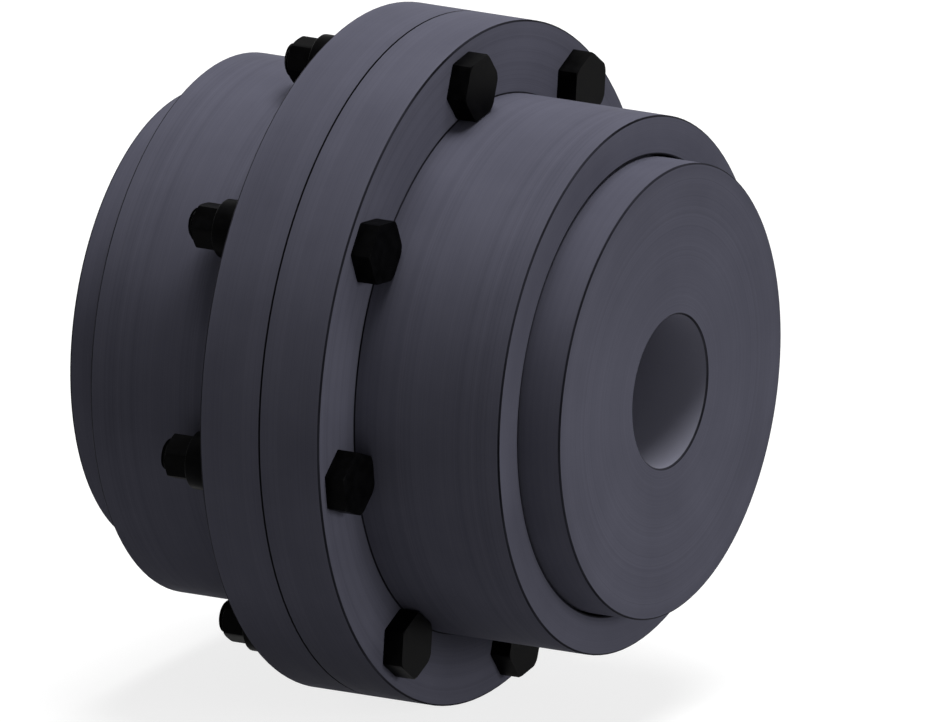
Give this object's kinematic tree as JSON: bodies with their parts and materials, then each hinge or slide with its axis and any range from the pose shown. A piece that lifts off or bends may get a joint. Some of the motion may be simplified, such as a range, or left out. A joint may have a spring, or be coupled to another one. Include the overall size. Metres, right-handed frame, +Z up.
{
  "type": "flanged gear coupling",
  "caption": "Flanged gear coupling that joins shaft ends: bored hubs with crowned teeth tilt slightly inside internally toothed sleeves bolted flange to flange.",
  "frame": {"origin": "on the shaft axis, in the plane where the flanges meet", "axes": "+X along the shaft axis towards the hub on the bolt-head side, +Z up"},
  "size_m": [0.1934, 0.24, 0.24],
  "materials": {
    "hub_steel": "finely turned, slate-grey phosphate coat",
    "sleeve_steel": "finely turned, slate-grey phosphate coat",
    "seal_rubber": "smooth black rubber",
    "plug_steel": "black oxide, satin",
    "bolt_steel": "black oxide, satin",
    "washer_steel": "black oxide, satin",
    "nut_steel": "black oxide, satin"
  },
  "bodies": {
    "left_hub": {"left_hub": "hub_steel"},
    "sleeves": {"right_sleeve": "sleeve_steel", "left_sleeve": "sleeve_steel", "right_hub_seal": "seal_rubber", "left_hub_seal": "seal_rubber", "flange_seal": "seal_rubber", "right_lube_plug": "plug_steel", "left_lube_plug": "plug_steel", "bolt_1": "bolt_steel", "washer_1": "washer_steel", "nut_1": "nut_steel", "bolt_2": "bolt_steel", "washer_2": "washer_steel", "nut_2": "nut_steel", "bolt_3": "bolt_steel", "washer_3": "washer_steel", "nut_3": "nut_steel", "bolt_4": "bolt_steel", "washer_4": "washer_steel", "nut_4": "nut_steel", "bolt_5": "bolt_steel", "washer_5": "washer_steel", "nut_5": "nut_steel", "bolt_6": "bolt_steel", "washer_6": "washer_steel", "nut_6": "nut_steel", "bolt_7": "bolt_steel", "washer_7": "washer_steel", "nut_7": "nut_steel", "bolt_8": "bolt_steel", "washer_8": "washer_steel", "nut_8": "nut_steel"},
    "right_hub": {"right_hub": "hub_steel"}
  },
  "joints": [
    {"name": "left_tilt", "type": "hinge", "parent": "left_hub", "child": "sleeves", "pos_m": [-0.02375, 0, 0], "axis": [0, 0, 1], "range_deg": [-0.75, 0.75]},
    {"name": "right_tilt", "type": "hinge", "parent": "sleeves", "child": "right_hub", "pos_m": [0.02375, 0, 0], "axis": [0, 0, 1], "range_deg": [-0.75, 0.75]}
  ]
}
